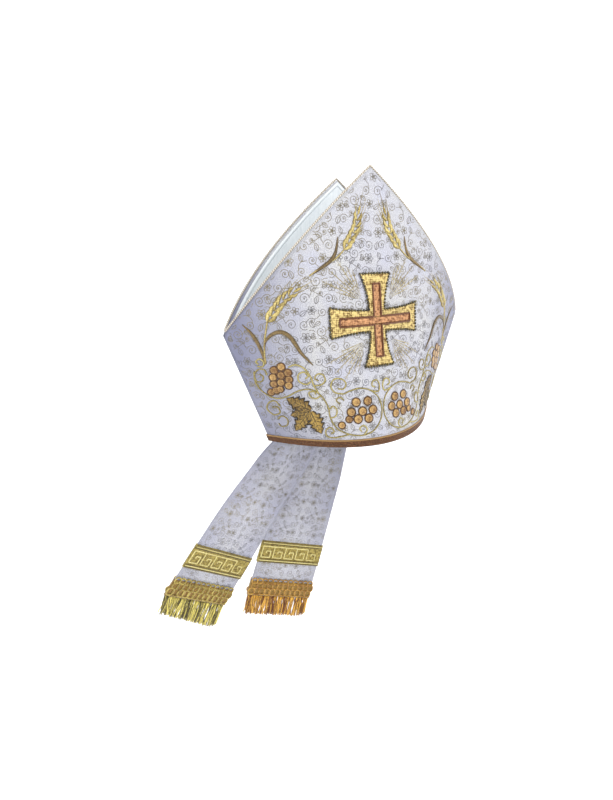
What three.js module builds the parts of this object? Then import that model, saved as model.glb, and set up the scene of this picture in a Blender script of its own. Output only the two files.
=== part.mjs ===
// A bishop's mitre: two stiff brocade horns sewn together at the sides, a satin lining that folds down
// between them, a braid round the rim, a piped edge, an applied cross, and two fringed lappets that
// hang from the back of the rim and are drawn aside. Millimetres, +Z up, the front looks along -Y, and
// the origin is the middle of the head opening, level with the lower edge.
import * as THREE from 'three';

// ---- driving dimensions ----------------------------------------------------------------------------
const RIM_HALF_WIDTH = 118; // from the middle to a side seam, at the lower edge
const FLARE = 0.35; // how fast the side seams spread as they rise
const RIM_BULGE = 75.7; // how far the front stands out before the line of the seams, at the rim
const LEAN = 0.177; // how fast that bulge closes with height, at the rim
const LEAN_EASE = 0.00018; // and how the lean eases towards the tip, per mm
const SHOULDER = 134; // height where the side seams end and the two horns part
const TIP = 302; // height of the tips
const EDGE_HOLLOW = 0.05; // how far a horn's sloping edge dips below a straight line
const WALL = 2.4; // brocade, stiffener and lining together
const SEAM_GAP = 0.3; // between touching pieces
const SEAM_SLANT = 1.25; // widthways share of an inset, so that a wall keeps its thickness at the seams

const LINING = { thick: 1.2, below: 2, foldHeight: 128, sag: 30, halfSpan: 0.965 };
const PIPING = { rise: 3.2, proud: 0.25, halfSpan: 0.985 };
const BRAID = { depth: 9.2, thick: 1.4 };
const CROSS = {
  height: 143, thick: 1.5, waist: 9.5, crotch: 11,
  tall: { reach: 50.5, half: 18.5 }, wide: { reach: 56.3, half: 16 },
};

const TUCK = 12; // how far a lappet is sewn up inside the rim
const STRIP = { topWidth: 87, endWidth: 101, cloth: 2, length: 320, settle: 120, clampX: 80 };
const LAPPETS = [ // where the top is sewn, the lean and turn in degrees, the hanging depth, the band's place
  { side: 'left', topX: -28.7, lean: 37.6, turn: -9, hang: 57, inFrom: 4.1, bandAt: 239 },
  { side: 'right', topX: 4.9, lean: 18.7, turn: 8, hang: 66, inFrom: 1.3, bandAt: 227 },
];
const BAND = { depth: 36, thick: 0.8 };
const HEADER = { depth: 28, thick: 1.4 };
const FRINGE = { length: 31, half: 2.4, corner: 9, overhang: 2 };

// ---- the curved form of a horn ---------------------------------------------------------------------
const halfWidth = (z) => RIM_HALF_WIDTH + FLARE * z;
const bulge = (z) => RIM_BULGE - LEAN * z + LEAN_EASE * z * z;
const topEdge = (s) => {
  const out = Math.abs(s);
  return SHOULDER + (TIP - SHOULDER) * ((1 - out) - EDGE_HOLLOW * out * (1 - out));
};

// A point on the front (side -1) or back (side 1) horn. s runs from seam to seam as -1 to 1, and inset
// is measured inwards from the outer face.
function hornPoint(side, s, z, inset) {
  const x = (halfWidth(z) - SEAM_SLANT * inset) * s;
  const y = side * ((bulge(z) - inset) * (1 - s * s) + SEAM_GAP / 2);
  return new THREE.Vector3(x, y, z);
}

// The s of a point that lies a distance across from the middle, measured along the cloth.
function acrossToS(across, z) {
  const b = halfWidth(z);
  const a2 = 2 * bulge(z);
  let s = across / b;
  for (let step = 0; step < 5; step += 1) {
    const speed = Math.hypot(b, a2 * s);
    const length = (s * speed + (b * b / a2) * Math.asinh(a2 * s / b)) / 2;
    s -= (length - across) / speed;
  }
  return s;
}

// ---- closed meshes from rows of points ---------------------------------------------------------------
function solidFrom(points, faces) {
  const geometry = new THREE.BufferGeometry();
  geometry.setAttribute('position', new THREE.Float32BufferAttribute(points.flatMap((p) => p.toArray()), 3));
  let volume = 0;
  for (const [a, b, c] of faces) volume += points[a].dot(points[b].clone().cross(points[c]));
  geometry.setIndex(volume < 0 ? faces.flatMap(([a, b, c]) => [a, c, b]) : faces.flat());
  geometry.computeVertexNormals();
  return geometry;
}

// The solid between two sheets, each given as a function of across and along, both from 0 to 1.
function slab(acrossCount, alongCount, outer, inner) {
  const points = [];
  const sheets = [outer, inner].map((sheet) => {
    const start = points.length;
    for (let j = 0; j <= alongCount; j += 1) {
      for (let i = 0; i <= acrossCount; i += 1) points.push(sheet(i / acrossCount, j / alongCount));
    }
    return (i, j) => start + j * (acrossCount + 1) + i;
  });
  const faces = [];
  const quad = (a, b, c, d) => faces.push([a, b, c], [a, c, d]);
  const [o, n] = sheets;
  for (let j = 0; j < alongCount; j += 1) {
    for (let i = 0; i < acrossCount; i += 1) {
      quad(o(i, j), o(i + 1, j), o(i + 1, j + 1), o(i, j + 1));
      quad(n(i, j), n(i, j + 1), n(i + 1, j + 1), n(i + 1, j));
    }
    quad(o(0, j), o(0, j + 1), n(0, j + 1), n(0, j));
    quad(o(acrossCount, j), n(acrossCount, j), n(acrossCount, j + 1), o(acrossCount, j + 1));
  }
  for (let i = 0; i < acrossCount; i += 1) {
    quad(o(i, 0), n(i, 0), n(i + 1, 0), o(i + 1, 0));
    quad(o(i, alongCount), o(i + 1, alongCount), n(i + 1, alongCount), n(i, alongCount));
  }
  return solidFrom(points, faces);
}

// A closed band: each step round it gives the corners of its section, in order.
function loopBand(sections) {
  const corners = sections[0].length;
  const faces = [];
  sections.forEach((section, i) => {
    const next = (i + 1) % sections.length;
    for (let k = 0; k < corners; k += 1) {
      const l = (k + 1) % corners;
      faces.push([i * corners + k, next * corners + k, next * corners + l]);
      faces.push([i * corners + k, next * corners + l, i * corners + l]);
    }
  });
  return solidFrom(sections.flat(), faces);
}

const group = new THREE.Group();
function add(name, geometry, color, roughness = 0.8, metalness = 0) {
  const mesh = new THREE.Mesh(geometry, new THREE.MeshStandardMaterial({ color, roughness, metalness }));
  mesh.name = name;
  group.add(mesh);
}

// ---- the horns ---------------------------------------------------------------------------------------
function horn(side) {
  const sheet = (inset) => (across, along) => {
    const s = across * 2 - 1;
    return hornPoint(side, s, along * topEdge(s), inset);
  };
  return slab(40, 9, sheet(0), sheet(WALL));
}
add('front_panel', horn(-1), 0xc9cbd6);
add('back_panel', horn(1), 0xc9cbd6);

// ---- the lining: down inside one horn, across in a soft fold, and up inside the other -----------------
function lining() {
  const sheet = (inset, sagLess) => (across, along) => {
    const s = (across * 2 - 1) * LINING.halfSpan;
    const top = topEdge(s) - LINING.below;
    const wall = 0.36; // share of the way that each upright stretch takes
    if (along <= wall || along >= 1 - wall) {
      const share = Math.min(along, 1 - along) / wall;
      return hornPoint(along < 0.5 ? -1 : 1, s, THREE.MathUtils.lerp(top, LINING.foldHeight, share), inset);
    }
    const turn = Math.PI * (along - wall) / (1 - 2 * wall);
    const point = hornPoint(1, s, LINING.foldHeight, inset);
    point.y *= -Math.cos(turn);
    point.z -= (LINING.sag * (1 - s * s) - sagLess) * Math.sin(turn);
    return point;
  };
  const outset = WALL + SEAM_GAP;
  return slab(30, 25, sheet(outset, 0), sheet(outset + LINING.thick, LINING.thick));
}
add('lining', lining(), 0xdfe4e4, 0.45);

// ---- piping over the raw upper edge of each horn -------------------------------------------------------
function piping(side) {
  const sheet = (inset) => (across, along) => {
    const s = (across * 2 - 1) * PIPING.halfSpan;
    return hornPoint(side, s, topEdge(s) + SEAM_GAP * 1.5 + along * PIPING.rise, inset);
  };
  return slab(60, 1, sheet(-PIPING.proud), sheet(WALL + PIPING.proud));
}
add('front_piping', piping(-1), 0xb8ae9a, 0.5);
add('back_piping', piping(1), 0xb8ae9a, 0.5);

// ---- braid round the rim -------------------------------------------------------------------------------
function rimBraid() {
  const steps = 40;
  const sections = [];
  for (const side of [-1, 1]) {
    for (let i = 0; i <= steps; i += 1) {
      const s = -side * ((i / steps) * 2 - 1);
      const corner = (z, inset) => hornPoint(side, s, z, inset);
      const near = -SEAM_GAP;
      const far = near - BRAID.thick;
      sections.push([corner(0, near), corner(0, far), corner(BRAID.depth, far), corner(BRAID.depth, near)]);
    }
  }
  return loopBand(sections);
}
add('rim_braid', rimBraid(), 0x8a5a2c, 0.55, 0.3);

// ---- the applied cross: four flared arms with hollow sides, laid on the front horn ------------------------
function crossOutline() {
  const arms = [CROSS.wide, CROSS.tall, CROSS.wide, CROSS.tall];
  const outline = [];
  arms.forEach((arm, quarter) => {
    const turned = (along, out) => new THREE.Vector2(along, out)
      .rotateAround(new THREE.Vector2(), quarter * Math.PI / 2);
    const waistIn = quarter % 2 ? CROSS.crotch : CROSS.waist;
    const waistOut = quarter % 2 ? CROSS.waist : CROSS.crotch;
    const root = turned(waistIn, -waistOut);
    const bend = turned(arm.reach * 0.62, -waistOut);
    const lower = new THREE.QuadraticBezierCurve(root, bend, turned(arm.reach, -arm.half));
    const upper = new THREE.QuadraticBezierCurve(
      turned(arm.reach, arm.half), turned(arm.reach * 0.62, waistOut), turned(waistIn, waistOut),
    );
    outline.push(...lower.getPoints(6).slice(1), turned(arm.reach, 0), ...upper.getPoints(6));
  });
  return outline;
}

function cross() {
  const rings = 6;
  const outline = crossOutline();
  const count = outline.length;
  const points = [];
  const faces = [];
  const starts = [-SEAM_GAP, -SEAM_GAP - CROSS.thick].map((inset) => {
    const start = points.length;
    const place = (flat) => {
      const z = CROSS.height + flat.y;
      return hornPoint(-1, acrossToS(flat.x, z), z, inset);
    };
    points.push(place(new THREE.Vector2()));
    for (let ring = 1; ring <= rings; ring += 1) {
      points.push(...outline.map((corner) => place(corner.clone().multiplyScalar(ring / rings))));
    }
    return start;
  });
  const at = (start, ring, i) => start + 1 + (ring - 1) * count + (i % count);
  starts.forEach((start, face) => {
    const put = (a, b, c) => faces.push(face ? [a, b, c] : [a, c, b]);
    for (let i = 0; i < count; i += 1) {
      put(start, at(start, 1, i), at(start, 1, i + 1));
      for (let ring = 1; ring < rings; ring += 1) {
        put(at(start, ring, i), at(start, ring + 1, i), at(start, ring + 1, i + 1));
        put(at(start, ring, i), at(start, ring + 1, i + 1), at(start, ring, i + 1));
      }
    }
  });
  const [under, top] = starts;
  for (let i = 0; i < count; i += 1) {
    faces.push([at(top, rings, i), at(under, rings, i), at(under, rings, i + 1)]);
    faces.push([at(top, rings, i), at(under, rings, i + 1), at(top, rings, i + 1)]);
  }
  return solidFrom(points, faces);
}
add('cross', cross(), 0xd2b46a, 0.5, 0.2);

// ---- the lappets -----------------------------------------------------------------------------------------
// A point on a lappet: across from -1 to 1, down along its middle from the sewn top edge, and out from
// the middle of the cloth towards the back. The top edge lies level along the inside of the back horn,
// and the cloth settles from the horn's curve to a hanging sheet, turned a little, below it.
function lappetPoint(lappet, across, down, out) {
  const share = Math.min(down / STRIP.length, 1);
  const lean = THREE.MathUtils.degToRad(lappet.lean);
  const free = THREE.MathUtils.smoothstep(down, 0, STRIP.settle);
  const yaw = free * THREE.MathUtils.degToRad(lappet.turn);
  const half = THREE.MathUtils.lerp(STRIP.topWidth, STRIP.endWidth, share) / 2;
  const x = lappet.topX - down * Math.sin(lean) + across * half * Math.cos(lean * free) * Math.cos(yaw);
  const z = TUCK - down * Math.cos(lean) - across * half * Math.sin(lean * free) * Math.cos(yaw);
  const held = THREE.MathUtils.clamp(x, -STRIP.clampX, STRIP.clampX);
  const level = Math.max(z, 0);
  const seam = halfWidth(level) - SEAM_SLANT * WALL;
  const lining = (bulge(level) - WALL) * (1 - (held / seam) ** 2) - lappet.inFrom;
  const settled = THREE.MathUtils.smoothstep(-z, 0, STRIP.settle);
  const hanging = lappet.hang - across * half * Math.sin(yaw);
  return new THREE.Vector3(x, THREE.MathUtils.lerp(lining, hanging, settled) + out, z);
}

// A sleeve of trimming that goes right round a lappet, from a distance down it.
function sleeve(lappet, piece, from) {
  const steps = 16;
  const near = STRIP.cloth / 2 + SEAM_GAP;
  const margin = 1 + 2 * SEAM_GAP / STRIP.endWidth;
  const loop = [];
  for (const face of [1, -1]) {
    for (let i = 0; i <= steps; i += 1) loop.push([face * ((i / steps) * 2 - 1), face]);
  }
  return loopBand(loop.map(([across, face]) => {
    const corner = (down, out, wide) => lappetPoint(lappet, across * wide, down, face * out);
    const far = near + piece.thick;
    const wide = margin + 2 * piece.thick / STRIP.endWidth;
    return [
      corner(from, near, margin), corner(from, far, wide),
      corner(from + piece.depth, far, wide), corner(from + piece.depth, near, margin),
    ];
  }));
}

function fringe(lappet) {
  const wide = 1 + 2 * FRINGE.overhang / STRIP.endWidth;
  const sheet = (out) => (across, along) => {
    const spot = (across * 2 - 1) * wide;
    const fromSide = (1 - Math.abs(across * 2 - 1)) * STRIP.endWidth / 2;
    const round = Math.max(0, 1 - fromSide / FRINGE.corner);
    const length = FRINGE.length - FRINGE.corner * (1 - Math.sqrt(1 - round * round));
    const top = STRIP.length + SEAM_GAP;
    return lappetPoint(lappet, spot, top + along * length, out);
  };
  return slab(24, 3, sheet(FRINGE.half), sheet(-FRINGE.half));
}

for (const lappet of LAPPETS) {
  const strip = (out) => (across, along) => lappetPoint(lappet, across * 2 - 1, along * STRIP.length, out);
  add(`lappet_${lappet.side}`, slab(16, 26, strip(STRIP.cloth / 2), strip(-STRIP.cloth / 2)), 0xc9cbd6);
  add(`key_band_${lappet.side}`, sleeve(lappet, BAND, lappet.bandAt), 0xb9a85e, 0.55, 0.3);
  const headerAt = STRIP.length - HEADER.depth - SEAM_GAP;
  add(`fringe_header_${lappet.side}`, sleeve(lappet, HEADER, headerAt), 0xc0a04e, 0.55, 0.3);
  add(`fringe_${lappet.side}`, fringe(lappet), 0xbd9a45, 0.7, 0.2);
}

export default group;
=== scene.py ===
import math
import random

import bpy
import numpy as np
from mathutils import Matrix, Vector


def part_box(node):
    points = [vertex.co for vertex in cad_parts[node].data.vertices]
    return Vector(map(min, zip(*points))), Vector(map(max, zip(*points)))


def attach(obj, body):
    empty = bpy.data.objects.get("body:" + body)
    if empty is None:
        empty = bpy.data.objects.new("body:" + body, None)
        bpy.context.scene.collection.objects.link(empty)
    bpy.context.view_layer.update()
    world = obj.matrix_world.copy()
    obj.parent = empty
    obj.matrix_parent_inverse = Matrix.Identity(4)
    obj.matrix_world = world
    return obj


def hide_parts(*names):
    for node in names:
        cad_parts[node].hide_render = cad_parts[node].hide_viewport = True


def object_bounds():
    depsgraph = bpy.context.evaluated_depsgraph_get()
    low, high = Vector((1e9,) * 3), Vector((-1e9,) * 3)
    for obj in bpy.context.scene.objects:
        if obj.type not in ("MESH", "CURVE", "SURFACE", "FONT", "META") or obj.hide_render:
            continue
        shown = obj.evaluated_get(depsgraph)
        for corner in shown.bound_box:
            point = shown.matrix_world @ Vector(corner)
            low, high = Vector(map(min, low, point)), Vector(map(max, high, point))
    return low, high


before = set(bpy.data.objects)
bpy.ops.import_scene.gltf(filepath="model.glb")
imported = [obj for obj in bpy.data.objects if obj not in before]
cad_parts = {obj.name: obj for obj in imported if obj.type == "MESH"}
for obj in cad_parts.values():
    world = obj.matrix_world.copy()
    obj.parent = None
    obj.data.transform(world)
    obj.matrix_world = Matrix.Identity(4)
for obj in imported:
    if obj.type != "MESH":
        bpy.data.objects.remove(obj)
cad_low, cad_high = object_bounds()
MM = 0.001

# ---- The two horns ----
# Each horn is figured silver-white silk pasted over a stiffener, cut flat, bent into a shallow arch and
# sewn to the other down both sides. The arch is a parabola that flares sideways and closes with height.
SHOULDER = 134 * MM
FLARE = 0.35
LEAN = 0.177
LEAN_EASE = 0.18
WALL = 2.4 * MM
SEAM = 0.3 * MM
SEAM_SLANT = 1.25
EDGE_HOLLOW = 0.05
front_low, front_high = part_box("front_panel")
TIP = front_high.z
RIM_HALF = front_high.x - FLARE * SHOULDER
RIM_BULGE = -front_low.y - SEAM / 2
FRONT, BACK = -1, 1


def half_width(z):
    return RIM_HALF + FLARE * z


def bulge(z):
    return RIM_BULGE - LEAN * z + LEAN_EASE * z * z


def top_edge(s):
    out = np.abs(s)
    return SHOULDER + (TIP - SHOULDER) * ((1 - out) - EDGE_HOLLOW * out * (1 - out))


def horn_point(side, s, z, out):
    """Points of a horn. s runs from seam to seam as -1 to 1, and out is outwards from the cloth's face."""
    x = (half_width(z) + SEAM_SLANT * out) * s
    y = side * ((bulge(z) + out) * (1 - s * s) + SEAM / 2)
    return np.stack(np.broadcast_arrays(x, y, z), -1)


def cloth_share(across, up):
    """How far towards a seam, -1 to 1, a point of the flat cut cloth lies."""
    b, k = half_width(up), 2 * bulge(up)
    s = across / b
    for _ in range(5):
        speed = np.hypot(b, k * s)
        s = s - ((s * speed + b * b / k * np.arcsinh(k * s / b)) / 2 - across) / speed
    return s


def on_cloth(side, across, up, out):
    """Points given on the flat cut cloth: across from the middle line, up from the rim, out of its face."""
    return horn_point(side, cloth_share(across, up), up, out)


class Solids:
    """Many small closed solids gathered into one mesh. Each point keeps a note of where it lies in its
    thread or cloth: how far along, how far across, and a number of its solid's own for its tone."""

    def __init__(self, seed=1):
        self.points, self.notes, self.faces, self.count = [], [], [], 0
        self.chance = random.Random(seed)

    def _take(self, points, notes, faces):
        points = points.reshape(-1, 3)
        self.points.append(points)
        self.notes.append(notes.reshape(-1, 3))
        self.faces += (faces + self.count).tolist()
        self.count += len(points)

    def loft(self, rings, along=None, tone=None):
        """A solid through rings of points, closed at both ends."""
        steps, corners, _ = rings.shape
        if along is None:
            middle = rings.mean(1)
            along = np.append(0, np.cumsum(np.linalg.norm(np.diff(middle, axis=0), axis=1)))
        tone = self.chance.random() if tone is None else tone
        notes = np.empty(rings.shape)
        notes[..., 0] = np.asarray(along)[:, None]
        notes[..., 1] = np.linspace(0, 1, corners)
        notes[..., 2] = tone
        i, k = np.meshgrid(np.arange(steps - 1), np.arange(corners), indexing="ij")
        n = (k + 1) % corners
        quads = np.stack([i * corners + k, i * corners + n, (i + 1) * corners + n, (i + 1) * corners + k], -1)
        first = self.count
        self._take(rings, notes, quads.reshape(-1, 4))
        self.faces.append(list(range(first + corners - 1, first - 1, -1)))
        last = first + (steps - 1) * corners
        self.faces.append(list(range(last, last + corners)))

    def ring(self, sections, along):
        """A solid whose sections go right round and meet again."""
        steps, corners, _ = sections.shape
        notes = np.empty(sections.shape)
        notes[..., 0] = np.asarray(along)[:, None]
        notes[..., 1] = np.linspace(0, 1, corners)
        notes[..., 2] = 0.5
        i, k = np.meshgrid(np.arange(steps), np.arange(corners), indexing="ij")
        n, j = (k + 1) % corners, (i + 1) % steps
        quads = np.stack([i * corners + k, i * corners + n, j * corners + n, j * corners + k], -1)
        self._take(sections, notes, quads.reshape(-1, 4))

    def slab(self, outer, inner, notes):
        """The solid between two sheets of points, rows by columns."""
        rows, columns, _ = outer.shape
        both = np.concatenate([outer, inner])
        marks = np.concatenate([notes, notes])
        at = np.arange(rows * columns).reshape(rows, columns)
        back = at + rows * columns
        a, b, c, d = at[:-1, :-1], at[:-1, 1:], at[1:, 1:], at[1:, :-1]
        quads = [np.stack([a, b, c, d], -1), np.stack([q + rows * columns for q in (d, c, b, a)], -1)]
        rim = np.concatenate([at[0], at[1:, -1], at[-1, -2::-1], at[-2:0:-1, 0]])
        under = rim + rows * columns
        quads.append(np.stack([rim, under, np.roll(under, -1), np.roll(rim, -1)], -1))
        faces = np.concatenate([q.reshape(-1, 4) for q in quads])
        self._take(both, marks, faces)

    def make(self, name, *materials, smooth=True):
        mesh = bpy.data.meshes.new(name)
        points = np.concatenate(self.points)
        mesh.from_pydata(points.tolist(), [], self.faces)
        note = mesh.attributes.new("lie", "FLOAT_VECTOR", "POINT")
        note.data.foreach_set("vector", np.concatenate(self.notes).ravel())
        for material in materials:
            mesh.materials.append(material)
        mesh.polygons.foreach_set("use_smooth", [smooth] * len(mesh.polygons))
        mesh.update()
        obj = bpy.data.objects.new(name, mesh)
        bpy.context.scene.collection.objects.link(obj)
        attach(obj, "root")
        return obj


class Value:
    """A shader socket that takes part in sums. Each sum adds its Math node."""

    def __init__(self, finish, socket):
        self.finish, self.socket = finish, socket

    def _sum(self, operation, *values):
        sockets = dict(enumerate(values))
        return self.finish.node("ShaderNodeMath", {"operation": operation}, sockets)

    def __add__(self, other):
        return self._sum("ADD", self, other)

    def __radd__(self, other):
        return self._sum("ADD", other, self)

    def __sub__(self, other):
        return self._sum("SUBTRACT", self, other)

    def __rsub__(self, other):
        return self._sum("SUBTRACT", other, self)

    def __mul__(self, other):
        return self._sum("MULTIPLY", self, other)

    def __rmul__(self, other):
        return self._sum("MULTIPLY", other, self)

    def __truediv__(self, other):
        return self._sum("DIVIDE", self, other)

    def __gt__(self, other):
        return self._sum("GREATER_THAN", self, other)

    def __lt__(self, other):
        return self._sum("LESS_THAN", self, other)

    def __abs__(self):
        return self._sum("ABSOLUTE", self)

    def sine(self):
        return self._sum("SINE", self)

    def power(self, other):
        return self._sum("POWER", self, other)


class Finish:
    """One material in the making. node() adds any shader node; surface() wires the shader itself."""

    def __init__(self, name, **constants):
        self.material = bpy.data.materials.new(name)
        self.material.use_nodes = True
        self.tree = self.material.node_tree
        self.shader = self.tree.nodes["Principled BSDF"]
        for key, value in constants.items():
            self.shader.inputs[key.replace("_", " ")].default_value = value

    def node(self, kind, settings=None, sockets=None, out=0):
        made = self.tree.nodes.new(kind)
        for key, value in (settings or {}).items():
            setattr(made, key, value)
        for key, value in (sockets or {}).items():
            self.join(value, made.inputs[key])
        return Value(self, made.outputs[out])

    def join(self, value, socket):
        if isinstance(value, Value):
            self.tree.links.new(value.socket, socket)
        else:
            socket.default_value = value

    def lie(self):
        """The mesh's note, then its parts: how far along, how far across, and the tone."""
        note = self.node("ShaderNodeAttribute", {"attribute_name": "lie"}, out=1)
        return note, *self.parts(note)

    def parts(self, vector):
        split = self.node("ShaderNodeSeparateXYZ", {}, {0: vector}).socket.node
        return [Value(self, split.outputs[axis]) for axis in range(3)]

    def noise(self, scale, detail=2.0, vector=None):
        sockets = {"Scale": scale, "Detail": detail}
        if vector is None:
            vector = self.node("ShaderNodeTexCoord", out="Object")
        return self.node("ShaderNodeTexNoise", {}, {**sockets, "Vector": vector})

    def mix(self, factor, a, b):
        return self.node("ShaderNodeMix", {"data_type": "RGBA"}, {0: factor, 6: a, 7: b}, 2)

    def surface(self, bump=None, depth=0.0002, strength=0.6, **inputs):
        for key, value in inputs.items():
            self.join(value, self.shader.inputs[key.replace("_", " ")])
        if bump is not None:
            sockets = {"Height": bump, "Distance": depth, "Strength": strength}
            self.join(self.node("ShaderNodeBump", {}, sockets), self.shader.inputs["Normal"])
        return self.material


def srgb(red, green, blue):
    """A colour as a dyer's swatch gives it, 0 to 255, in the shader's own scale."""
    shares = (red / 255, green / 255, blue / 255)
    return (*(c / 12.92 if c < 0.0405 else ((c + 0.055) / 1.055) ** 2.4 for c in shares), 1)


def silk_ground():
    """Silver-white silk: fine warp and weft, a slow drift between cool and warm, small glints, and painted
    shade towards the seams, near the rim and at a lappet's top under the rim.
    """
    silk = Finish("brocade_ground", Roughness=0.55, Sheen_Weight=0.15, Sheen_Roughness=0.4)
    note, along, across, _ = silk.lie()
    warp = (across * (2 * math.pi / (0.9 * MM))).sine()
    weft = (along * (2 * math.pi / (1.1 * MM))).sine()
    drift = silk.noise(28, 3.0, note)
    fleck = silk.noise(950, 3.0, note)
    cool, warm = srgb(180, 182, 196), srgb(194, 193, 186)
    ground = silk.mix((drift - 0.5) * 2.4 + 0.5, cool, warm)
    shaded = silk.mix((fleck - 0.38) * 4.2, srgb(142, 142, 150), ground)
    # Painted shade: the silk turns darker and bluer towards the seams and near the rim, and at a lappet's
    # top, where the rim's shadow falls.
    painted_shade = (abs(across) - 80 * MM) * 11 - along * 0.8 + (45 * MM - along) * 7 * (along < 45 * MM)
    shaded = silk.mix(painted_shade, shaded, srgb(112, 114, 136))
    return silk.surface(
        bump=warp * weft + fleck * 1.5, depth=0.12 * MM, strength=0.5,
        Base_Color=shaded, Roughness=0.72 - fleck * 0.35,
    )


brocade_ground = silk_ground()
horns = {}
for side, name in ((FRONT, "front_panel"), (BACK, "back_panel")):
    rows, columns = 41, 97
    s = np.linspace(-1, 1, columns)[None, :]
    z = np.linspace(0, 1, rows)[:, None] * top_edge(s)
    work = Solids()
    flat = np.stack(np.broadcast_arrays(z, s * half_width(z) * 1.2, 0 * z + 1), -1)
    work.slab(horn_point(side, s, z, 0), horn_point(side, s, z, -WALL), flat)
    horn = work.make(name.replace("panel", "horn"), brocade_ground)
    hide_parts(name)
    horns[side] = horn

# ---- The figure woven into the silk ----
# The brocade's own pattern, in a greyer gold thread: curling stems that end in dotted spirals, six-petalled
# flowers and small veined leaves, in a half-drop repeat. It is woven, so it stands barely proud.
REPEAT = (46 * MM, 54 * MM)


def smooth_line(points, step):
    """An even line of points along a smooth curve through a few."""
    points = np.asarray(points, float)
    padded = np.concatenate([[2 * points[0] - points[1]], points, [2 * points[-1] - points[-2]]])
    line = []
    for a, b, c, d in zip(padded, padded[1:], padded[2:], padded[3:]):
        t = np.linspace(0, 1, 24, endpoint=False)[:, None]
        curve = 2 * b + (c - a) * t + (2 * a - 5 * b + 4 * c - d) * t**2 + (3 * b - a - 3 * c + d) * t**3
        line.append(curve / 2)
    line = np.concatenate([*line, points[-1:]])
    length = np.append(0, np.cumsum(np.linalg.norm(np.diff(line, axis=0), axis=1)))
    even = np.linspace(0, length[-1], max(2, int(length[-1] / step) + 1))
    return np.stack([np.interp(even, length, line[:, axis]) for axis in (0, 1)], -1)


def spiral(x, y, outer, start, turns, inner=0.15):
    """A flat spiral that starts at its outer end; start is that end's direction in turns."""
    t = np.linspace(0, 1, max(8, int(abs(turns) * 16)))
    radius = outer * (1 - (1 - inner) * t)
    angle = 2 * math.pi * (start + turns * t)
    return np.stack([x + radius * np.cos(angle), y + radius * np.sin(angle)], -1)


def petal(x, y, length, width, direction, step=10):
    """A pointed oval outline that starts and ends at its foot."""
    t = np.linspace(0, 1, step)
    run, spread = length * t, width / 2 * np.sin(math.pi * t**0.8)
    out = np.concatenate([np.stack([run, spread], -1), np.stack([run, -spread], -1)[-2::-1]])
    c, s = math.cos(2 * math.pi * direction), math.sin(2 * math.pi * direction)
    return out @ np.array([[c, s], [-s, c]]) + [x, y]


def one_repeat():
    """The lines of one repeat, in metres across and up from its corner."""
    lines = []
    for x, y, size, start, turns in (
        (8, 9, 6.0, 0.02, 1.35), (35, 8, 5.2, 0.45, -1.35), (22, 27, 6.4, 0.3, 1.4),
        (7, 37, 4.8, 0.8, -1.3), (40, 35, 5.6, 0.65, 1.35), (19, 48, 5.0, 0.1, -1.35),
        (26, 14, 3.2, 0.5, 1.2), (12, 22, 3.0, 0.9, -1.2), (31, 39, 3.2, 0.2, 1.2),
    ):
        lines.append(spiral(x, y, size, start, turns, inner=0.3))
        lines.append(spiral(x, y, 0.7, 0, 1, inner=0.9))
    for x, y, size, petals in ((39, 21, 6.2, 6), (3, 23, 5.0, 5), (31, 50, 5.4, 6)):
        lines += [petal(x, y, size, size * 0.72, k / petals, 6) for k in range(petals)]
        lines.append(spiral(x, y, 1.3, 0, 1, inner=0.9))
    for x, y, direction, length in (
        (15, 17, 0.1, 9), (28, 20, 0.05, 7), (14, 31, 0.6, 8), (29, 32, 0.15, 9), (44, 45, 0.4, 9),
        (8, 47, 0.3, 8), (20, 3, 0.2, 9), (43, 3, 0.3, 9), (22, 38, 0.9, 8), (30, 26, 0.8, 7),
    ):
        lines.append(petal(x, y, length, length * 0.55, direction, 7))
        way = np.array([math.cos(2 * math.pi * direction), math.sin(2 * math.pi * direction)])
        lines.append(smooth_line([[x, y], [x, y] + way * length * 0.75], 2))
    lines += [smooth_line(points, 1.6) for points in (
        [(14.1, 11.6), (17, 17), (20, 19.5), (24.5, 19.4)], [(17.9, 27), (12, 30), (8.5, 29.6)],
        [(28.8, 9.5), (25, 13), (22, 14), (17, 17)], [(35, 28.9), (31, 29), (28.5, 27)],
        [(22.2, 44.5), (27, 41), (33, 42), (38, 38)], [(4, 38), (4, 43), (8, 47), (13.7, 47.5)],
    )]
    return [line * MM for line in lines]


def weave_figure(work, place, width, height, inside, waist=0.34 * MM, proud=0.22 * MM):
    """Lays the repeat over a cloth of that width and height. place maps the flat cloth to points, and
    inside says which flat points lie on it."""
    repeat = one_repeat()
    for column in range(-int(width / REPEAT[0] / 2) - 2, int(width / REPEAT[0] / 2) + 2):
        for row in range(-1, int(height / REPEAT[1]) + 1):
            for line in repeat:
                x = line[:, 0] if row % 2 else REPEAT[0] - line[:, 0]
                flat = np.stack([x + column * REPEAT[0], line[:, 1]], -1)
                flat[:, 1] += (row + 0.5 * (column % 2)) * REPEAT[1]
                kept = inside(flat[:, 0], flat[:, 1])
                ends = np.flatnonzero(np.diff(np.concatenate([[False], kept, [False]]).astype(int)))
                for first, last in zip(ends[::2], ends[1::2]):
                    if last - first > 2:
                        thread(work, place, flat[first:last], waist, proud, corners=3)


def thread(work, place, flat, half, proud, corners=5, base=0.0, tone=None):
    """A low, rounded line of thread on a cloth, as wide as half says on each side of it."""
    run = np.gradient(flat, axis=0)
    run /= np.maximum(np.linalg.norm(run, axis=1, keepdims=True), 1e-12)
    aside = np.stack([-run[:, 1], run[:, 0]], -1)
    half = np.broadcast_to(half, len(flat))[:, None]
    proud = np.broadcast_to(proud, len(flat))[:, None]
    spread = np.linspace(-1, 1, corners)[None, :]
    rise = np.sqrt(np.maximum(0, 1 - np.abs(spread) ** 2.2))
    x = flat[:, :1] + aside[:, :1] * half * spread
    y = flat[:, 1:] + aside[:, 1:] * half * spread
    along = np.append(0, np.cumsum(np.linalg.norm(np.diff(flat, axis=0), axis=1)))
    work.loft(place(x, y, base + proud * rise), along, tone)


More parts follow.
